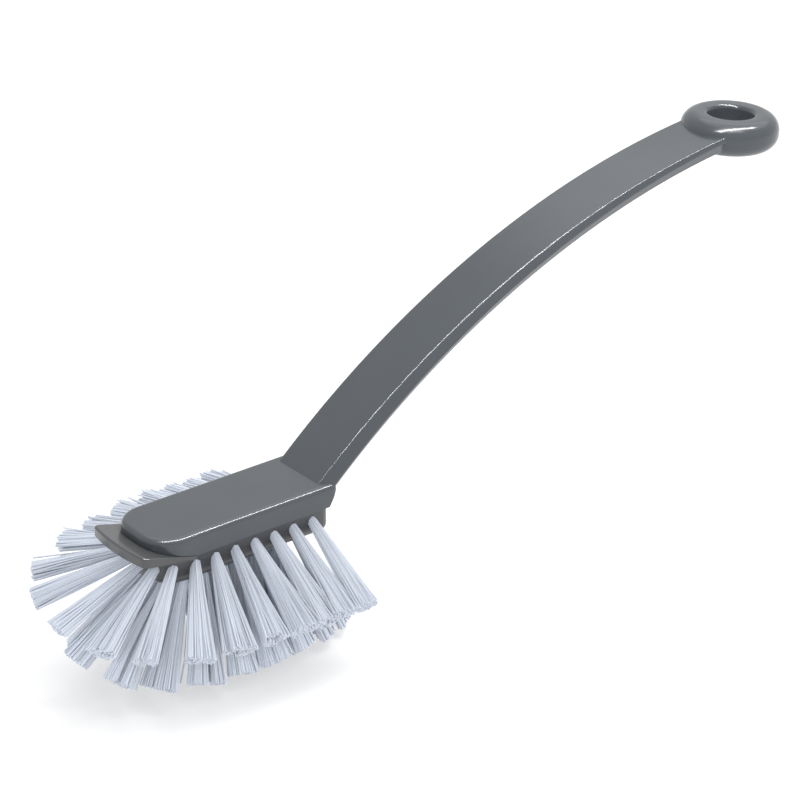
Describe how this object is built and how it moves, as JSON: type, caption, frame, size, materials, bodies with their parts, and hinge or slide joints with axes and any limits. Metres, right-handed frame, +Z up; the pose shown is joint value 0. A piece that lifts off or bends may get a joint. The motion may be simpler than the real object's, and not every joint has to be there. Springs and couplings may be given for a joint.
{
  "type": "dish brush",
  "caption": "Dish brush with a long arched handle ending in a hanging ring, a flat capped head with a scraper lip, and a half-round fan of stiff bristle tufts.",
  "frame": {"origin": "middle of the base of the whole brush's bounding box, at the tips of the lowest tufts", "axes": "+X from the head towards the hanging ring, +Y towards the far side in the picture, +Z up out of the cap's top"},
  "size_m": [0.3, 0.0886, 0.1345],
  "materials": {
    "handle_plastic": "satin gloss",
    "block_plastic": "satin gloss",
    "bristle_nylon": "translucent white filaments with a cool tint",
    "anchor_wire": "bright wire"
  },
  "bodies": {
    "root": {"handle": "handle_plastic", "bristle_block": "block_plastic", "tuft_anchors": "anchor_wire", "tuft_upper_01": "bristle_nylon", "tuft_upper_02": "bristle_nylon", "tuft_upper_03": "bristle_nylon", "tuft_upper_04": "bristle_nylon", "tuft_upper_05": "bristle_nylon", "tuft_upper_06": "bristle_nylon", "tuft_upper_07": "bristle_nylon", "tuft_upper_08": "bristle_nylon", "tuft_upper_09": "bristle_nylon", "tuft_upper_10": "bristle_nylon", "tuft_upper_11": "bristle_nylon", "tuft_upper_12": "bristle_nylon", "tuft_upper_13": "bristle_nylon", "tuft_upper_14": "bristle_nylon", "tuft_upper_15": "bristle_nylon", "tuft_upper_16": "bristle_nylon", "tuft_upper_17": "bristle_nylon", "tuft_upper_18": "bristle_nylon", "tuft_upper_19": "bristle_nylon", "tuft_lower_01": "bristle_nylon", "tuft_lower_02": "bristle_nylon", "tuft_lower_03": "bristle_nylon", "tuft_lower_04": "bristle_nylon", "tuft_lower_05": "bristle_nylon", "tuft_lower_06": "bristle_nylon", "tuft_lower_07": "bristle_nylon", "tuft_lower_08": "bristle_nylon", "tuft_lower_09": "bristle_nylon", "tuft_lower_10": "bristle_nylon", "tuft_lower_11": "bristle_nylon", "tuft_lower_12": "bristle_nylon", "tuft_lower_13": "bristle_nylon", "tuft_lower_14": "bristle_nylon", "tuft_lower_15": "bristle_nylon", "tuft_lower_16": "bristle_nylon", "tuft_lower_17": "bristle_nylon", "tuft_middle_01": "bristle_nylon", "tuft_middle_02": "bristle_nylon", "tuft_middle_03": "bristle_nylon", "tuft_middle_04": "bristle_nylon", "tuft_middle_05": "bristle_nylon"}
  },
  "joints": []
}
